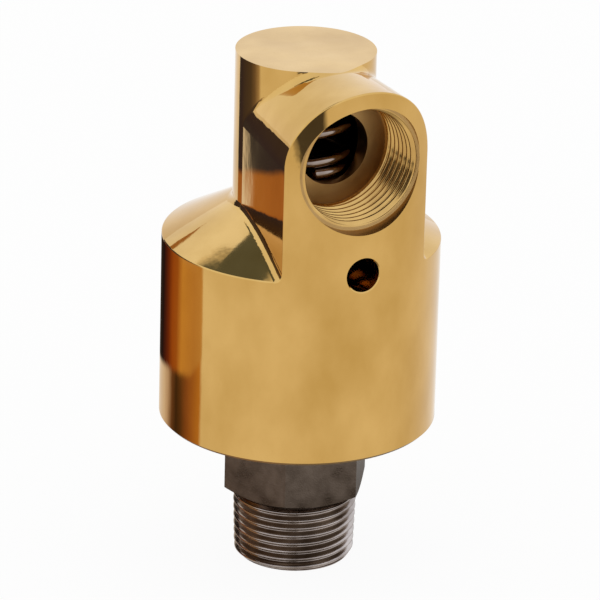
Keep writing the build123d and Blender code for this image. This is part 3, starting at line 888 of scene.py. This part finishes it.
# ---------------------------------------------------------------- studio
@dataclass(frozen=True)
class Flag:
    """Flat card between a left and a right edge, in millimetres."""
    name: str
    tone: Colour
    left: tuple[tuple[float, float, float], ...]
    right: tuple[tuple[float, float, float], ...]
    fade: float = 0.12                   # soft border, as a share of the card
    steps: int = 41                      # points along each side

    def grid(self) -> tuple[np.ndarray, np.ndarray]:
        """Points of the card, and how far each lies inside its soft border.

        A point lies between the two edges in proportion to its column. Its depth is the
        product, across and along, of its distance from the border over the border's width.

        Returns:
            Points as rows by columns by xyz in metres, and depths from 0 at the border to 1.
        """
        share = np.linspace(0.0, 1.0, self.steps)
        sides = []
        for side in (self.left, self.right):
            corner = np.array(side, float) * MM
            stops = np.linspace(0.0, 1.0, len(corner))
            sides.append(np.stack([np.interp(share, stops, part) for part in corner.T], -1))
        across = share[None, :, None]
        points = sides[0][:, None] * (1.0 - across) + sides[1][:, None] * across
        inside = np.clip(np.minimum(share, 1.0 - share) / self.fade, 0.0, 1.0)
        return points, inside[:, None] * inside[None, :]


# painted reflections: cards seen only in the gloss, three dark and one orange
FLAGS = (
    Flag("flag_front", (0.10, 0.10, 0.12),
         ((-290, -322, 1), (-290, -470, 1)), ((-58, -322, 1), (-58, -470, 1))),
    Flag("flag_upright", (0.10, 0.09, 0.09),
         ((-395, -475, 2), (-395, -475, 300)), ((-150, -475, 2), (-150, -475, 300))),
    Flag("flag_overhead", (0.14, 0.17, 0.20),
         ((-60, 0, 300), (-110, 60, 300), (-120, 100, 300), (-120, 145, 300), (-125, 190, 300)),
         ((-28, 20, 300), (-30, 60, 300), (-34, 114, 300), (-66, 122, 300), (-78, 190, 300))),
    Flag("flag_behind", (0.50, 0.26, 0.10),
         ((-95, 352, 300), (-62, 410, 300)), ((-62, 352, 300), (-36, 410, 300))),
)


@dataclass(frozen=True)
class Band:
    """Band of the toned card: its colour at bearings in degrees from -Y, negative towards -X."""
    stops: tuple[tuple[float, Colour], ...]

    def tone(self, bearing: np.ndarray) -> np.ndarray:
        """Colour of the band, drawn evenly from one stop to the next.

        Args:
            bearing: Degrees from -Y, negative towards -X.
        Returns:
            Linear colour at each bearing.
        """
        places = [place for place, _ in self.stops]
        channels = zip(*(colour for _, colour in self.stops))
        return np.stack([np.interp(bearing, places, channel) for channel in channels], -1)


# painted reflections: the toned card's bands, which the brass mirrors as orange, near black and
# open
FOOT_BAND = Band((
    (-160.0, (0.85, 0.75, 0.62)), (-151.0, (0.85, 0.75, 0.62)), (-144.0, (0.70, 0.58, 0.50)),
    (-136.0, (0.20, 0.10, 0.05)), (-129.0, (0.07, 0.04, 0.02)), (-122.0, (0.14, 0.07, 0.03)),
    (-114.0, (0.32, 0.13, 0.05)), (-107.0, (0.49, 0.22, 0.07)), (-100.0, (0.66, 0.34, 0.09)),
    (-97.5, (1.00, 1.00, 1.00)),
))
LOWER_BAND = Band((
    (-192.0, (1.00, 1.00, 1.00)), (-182.0, (0.35, 0.33, 0.33)), (-174.0, (0.04, 0.03, 0.02)),
    (-159.0, (0.02, 0.01, 0.01)), (-151.0, (0.09, 0.02, 0.01)), (-144.0, (0.20, 0.04, 0.01)),
    (-136.0, (0.42, 0.12, 0.02)), (-129.0, (0.46, 0.16, 0.03)), (-122.0, (0.74, 0.43, 0.12)),
    (-107.0, (0.64, 0.37, 0.14)), (-100.0, (0.68, 0.42, 0.18)), (-98.5, (0.72, 0.50, 0.25)),
    (-97.5, (1.00, 1.00, 1.00)),
))
MIDDLE_BAND = Band((
    (-152.0, (1.00, 1.00, 1.00)), (-150.5, (0.53, 0.24, 0.065)), (-145.0, (0.50, 0.21, 0.06)),
    (-120.0, (0.72, 0.46, 0.24)), (-100.0, (0.66, 0.40, 0.15)), (-97.5, (1.00, 1.00, 1.00)),
))
UPPER_BAND = Band((
    (-152.0, (1.00, 1.00, 1.00)), (-150.5, (0.06, 0.06, 0.07)), (-145.0, (0.05, 0.04, 0.06)),
    (-118.0, (0.11, 0.09, 0.09)), (-110.0, (0.22, 0.17, 0.15)), (-102.0, (0.50, 0.42, 0.35)),
    (-97.5, (1.00, 1.00, 1.00)),
))

# what gloss sees of the sky, by how far up it looks, from 0 level to 1 overhead
SKY_STOPS = (
    (0.05, (1.15, 1.22, 1.38)),
    (0.35, (1.15, 1.25, 1.42)),
    (0.95, (1.12, 1.22, 1.50)),
)


@dataclass
class Camera:
    """Camera that looks at the middle of the object from afar."""
    rise: float = 21.93                  # degrees above the horizon
    bearing: float = -26.48              # degrees from -Y, negative towards -X
    roll: float = 1.518                  # degrees
    distance: float = 1306.3 * MM
    aim_height: float = 73.46 * MM
    aim_right: float = 0.106 * MM        # aim to the camera's right of the axis
    sensor: float = 36.0                 # millimetres
    lens: float = 290.69                 # millimetres
    clip: tuple[float, float] = (0.01, 50.0)

    def build(self) -> None:
        """Place the camera and make it the scene's own."""
        rise, bearing, roll = (math.radians(v) for v in (self.rise, self.bearing, self.roll))
        right = Vector((math.cos(bearing), math.sin(bearing), 0.0))
        back = Vector((math.sin(bearing) * math.cos(rise), -math.cos(bearing) * math.cos(rise),
                       math.sin(rise)))
        up = back.cross(right)
        aim = right * self.aim_right + Vector((0.0, 0.0, self.aim_height))
        across = right * math.cos(roll) + up * math.sin(roll)
        upward = -right * math.sin(roll) + up * math.cos(roll)
        matrix = Matrix((across, upward, back)).transposed().to_4x4()
        matrix.translation = aim + back * self.distance
        optics = bpy.data.cameras.new("camera")
        optics.sensor_width = self.sensor
        optics.lens = self.lens
        optics.clip_start, optics.clip_end = self.clip
        piece = bpy.data.objects.new("camera", optics)
        bpy.context.scene.collection.objects.link(piece)
        piece.matrix_world = matrix
        bpy.context.scene.camera = piece


@dataclass
class Studio:
    """Pale floor, soft light from all round, and toned cards that the gloss mirrors."""
    floor_reach: float = 6.0
    floor_drop: float = 0.02 * MM        # gap between the object's end and the floor
    floor_colour: float = 0.86
    floor_glow: float = 0.93             # share of plain white in what is seen of the floor
    sky: float = 0.95
    # painted shadow: a ring seen only in the gloss that darkens what the steel end mirrors
    shadow_inner: float = 18.0 * MM
    shadow_outer: float = 112.0 * MM
    shadow_height: float = 0.5 * MM
    shadow_tone: Colour = (0.25, 0.23, 0.21)
    shadow_left_tone: Colour = (0.26, 0.19, 0.14)
    shadow_left: float = 15.0               # degrees that the browner side lies off -X
    shadow_fade: int = 3                    # power at which the ring fades outwards
    shadow_steps: tuple[int, int] = (145, 40)               # points round and outwards
    card_radius: float = 100.0 * MM
    card_top: float = 124.0 * MM
    card_span: tuple[float, float] = (-97.6, -200.0)     # degrees from -Y
    card_steps: tuple[int, int] = (240, 120)             # points along and up
    foot_bearings: tuple[float, ...] = (-176.0, -136.0, -110.0, -98.0)
    foot_heights: tuple[float, ...] = (20.0, 26.0, 30.0, 37.0)   # top of the foot band, in mm
    foot_softness: float = 2.0 * MM
    middle_height: float = 64.0 * MM
    middle_softness: float = 4.0 * MM
    upper_height: float = 79.0 * MM
    upper_softness: float = 2.0 * MM

    def surface(self, name: str, grid: np.ndarray) -> bpy.types.Object:
        """Make an open grid surface.

        Args:
            name: Name of the object.
            grid: Points as rows by columns by xyz.
        Returns:
            The object.
        """
        rows, columns = grid.shape[:2]
        mesh = bpy.data.meshes.new(name)
        mesh.from_pydata(grid.reshape(-1, 3).tolist(), [],
                         grid_triangles(rows, columns, False).tolist())
        piece = bpy.data.objects.new(name, mesh)
        bpy.context.scene.collection.objects.link(piece)
        return piece

    def floor(self) -> None:
        """Lay a pale floor that shows as nearly plain white and keeps a soft shadow."""
        side = np.linspace(-self.floor_reach, self.floor_reach, 3)
        x, y = np.meshgrid(side, side)
        piece = self.surface("floor", np.stack([x, y, 0 * x - self.floor_drop], -1))
        made = bpy.data.materials.new("pale_floor")
        made.use_nodes = True
        tree = made.node_tree
        tree.nodes.clear()
        matt = tree.nodes.new("ShaderNodeBsdfDiffuse")
        matt.inputs["Color"].default_value = (self.floor_colour,) * 3 + (1.0,)
        glow = tree.nodes.new("ShaderNodeEmission")
        ray = tree.nodes.new("ShaderNodeLightPath")
        seen = tree.nodes.new("ShaderNodeMath")
        seen.operation = "MAXIMUM"
        share = tree.nodes.new("ShaderNodeMath")
        share.operation = "MULTIPLY"
        share.inputs[1].default_value = self.floor_glow
        mix = tree.nodes.new("ShaderNodeMixShader")
        out = tree.nodes.new("ShaderNodeOutputMaterial")
        tree.links.new(ray.outputs["Is Camera Ray"], seen.inputs[0])
        tree.links.new(ray.outputs["Is Glossy Ray"], seen.inputs[1])
        tree.links.new(seen.outputs[0], share.inputs[0])
        tree.links.new(share.outputs[0], mix.inputs[0])
        tree.links.new(matt.outputs[0], mix.inputs[1])
        tree.links.new(glow.outputs[0], mix.inputs[2])
        tree.links.new(mix.outputs[0], out.inputs["Surface"])
        piece.data.materials.append(made)

    def sky_light(self) -> None:
        """Light the scene evenly from all round, a little cooler and brighter overhead."""
        world = bpy.data.worlds.new("studio")
        bpy.context.scene.world = world
        world.use_nodes = True
        tree = world.node_tree
        plain = tree.nodes["Background"]
        plain.inputs["Strength"].default_value = self.sky
        shown = tree.nodes.new("ShaderNodeBackground")
        where = tree.nodes.new("ShaderNodeTexCoord")
        split = tree.nodes.new("ShaderNodeSeparateXYZ")
        ramp = tree.nodes.new("ShaderNodeValToRGB")
        stops = ramp.color_ramp.elements
        stops.new(SKY_STOPS[1][0])
        for stop, (height, colour) in zip(stops, SKY_STOPS):
            stop.position, stop.color = height, (*colour, 1.0)
        ray = tree.nodes.new("ShaderNodeLightPath")
        mix = tree.nodes.new("ShaderNodeMixShader")
        plain.inputs["Color"].default_value = (1.0, 1.0, 1.0, 1.0)
        tree.links.new(where.outputs["Generated"], split.inputs[0])
        tree.links.new(split.outputs["Z"], ramp.inputs["Fac"])
        tree.links.new(ramp.outputs["Color"], shown.inputs["Color"])
        tree.links.new(ray.outputs["Is Glossy Ray"], mix.inputs[0])
        tree.links.new(plain.outputs[0], mix.inputs[1])
        tree.links.new(shown.outputs[0], mix.inputs[2])
        tree.links.new(mix.outputs[0], tree.nodes["World Output"].inputs["Surface"])

    def card_tone(self, bearing: np.ndarray, height: np.ndarray) -> np.ndarray:
        """Colour of the toned card, as four bands one above another.

        The foot is orange, then near black, then open. The next band runs from orange to
        near black, the third is orange and open beyond, and the top one is dark brown.

        Args:
            bearing: Degrees from -Y, negative towards -X.
            height: Height above the floor.
        Returns:
            Linear colour at each place.
        """
        def above(level: np.ndarray | float, softness: float) -> np.ndarray:
            """Share of the upper band, from 0 to 1 across a soft edge."""
            return np.clip((height - level) / softness + 0.5, 0.0, 1.0)[..., None]

        # painted reflection: the card's colour is what the brass mirrors at each bearing and height
        tone = FOOT_BAND.tone(bearing)
        foot_top = np.interp(bearing, self.foot_bearings, self.foot_heights) * MM
        for band, level, softness in (
                (LOWER_BAND, foot_top, self.foot_softness),
                (MIDDLE_BAND, self.middle_height, self.middle_softness),
                (UPPER_BAND, self.upper_height, self.upper_softness)):
            tone = tone + (band.tone(bearing) - tone) * above(level, softness)
        return tone

    def glowing(self, name: str, grid: np.ndarray, tone: np.ndarray) -> None:
        """Hang a card that is seen only in the object's gloss.

        Args:
            name: Name of the card.
            grid: Points as rows by columns by xyz.
            tone: Linear colour at each point.
        """
        piece = self.surface(name, grid)
        flat = tone.reshape(-1, 3)
        glow = piece.data.attributes.new("tone", "FLOAT_COLOR", "POINT")
        opaque = np.column_stack([flat, np.ones(len(flat))])
        glow.data.foreach_set("color", opaque.astype(np.float32).ravel())
        made = bpy.data.materials.new(name)
        made.use_nodes = True
        tree = made.node_tree
        tree.nodes.clear()
        read = tree.nodes.new("ShaderNodeAttribute")
        read.attribute_name = "tone"
        light = tree.nodes.new("ShaderNodeEmission")
        out = tree.nodes.new("ShaderNodeOutputMaterial")
        tree.links.new(read.outputs["Color"], light.inputs["Color"])
        tree.links.new(light.outputs[0], out.inputs["Surface"])
        piece.data.materials.append(made)
        piece.visible_camera = False
        piece.visible_diffuse = False
        piece.visible_shadow = False
        piece.visible_transmission = False

    def painted_shadow(self) -> None:
        """Lay a painted shadow on the floor: a ring, seen only in the gloss, that darkens what
        the steel end mirrors.

        It is dark beside the nipple and browner on the left, and fades to plain white with
        the cube of the share of the way out.
        """
        turns, reaches = self.shadow_steps
        turn, reach = np.meshgrid(np.radians(np.linspace(-180.0, 180.0, turns)),
                                  np.linspace(self.shadow_inner, self.shadow_outer, reaches))
        grid = np.stack([reach * np.sin(turn), -reach * np.cos(turn),
                         self.shadow_height + 0.0 * turn], -1)
        out = ((reach - self.shadow_inner) / (self.shadow_outer - self.shadow_inner))[..., None]
        left = np.clip(-np.sin(turn + math.radians(self.shadow_left)), 0.0, 1.0)[..., None]
        near = np.array(self.shadow_tone) * (1.0 - left) + np.array(self.shadow_left_tone) * left
        self.glowing("painted_shadow", grid, near + (1.0 - near) * out ** self.shadow_fade)

    def cards(self) -> None:
        """Stand the toned card beside the object and hang four small flags round it, painted
        reflections that only the gloss sees.
        """
        bearing = np.linspace(*self.card_span, self.card_steps[0])
        height = np.linspace(0.0, self.card_top, self.card_steps[1])
        grid_bearing, grid_height = np.meshgrid(bearing, height)
        turn = np.radians(grid_bearing)
        grid = np.stack([self.card_radius * np.sin(turn), -self.card_radius * np.cos(turn),
                         grid_height], -1)
        self.glowing("toned_card", grid, self.card_tone(grid_bearing, grid_height))
        for flag in FLAGS:
            grid, depth = flag.grid()
            self.glowing(flag.name, grid, 1.0 + (np.array(flag.tone) - 1.0) * depth[..., None])

    def build(self) -> None:
        """Set the floor, the light, the painted shadow and the cards."""
        self.floor()
        self.sky_light()
        self.painted_shadow()
        self.cards()
        bpy.context.scene.view_settings.view_transform = "Standard"
        log.info("studio set")


def main() -> None:
    """Build every sub-assembly in order, then the studio and the camera."""
    for assembly in (Housing(), Rotor(), Spring(), Bearings(), Seals(), Studio(), Camera()):
        log.info("building %s", type(assembly).__name__)
        assembly.build()


if __name__ == "__main__":
    main()
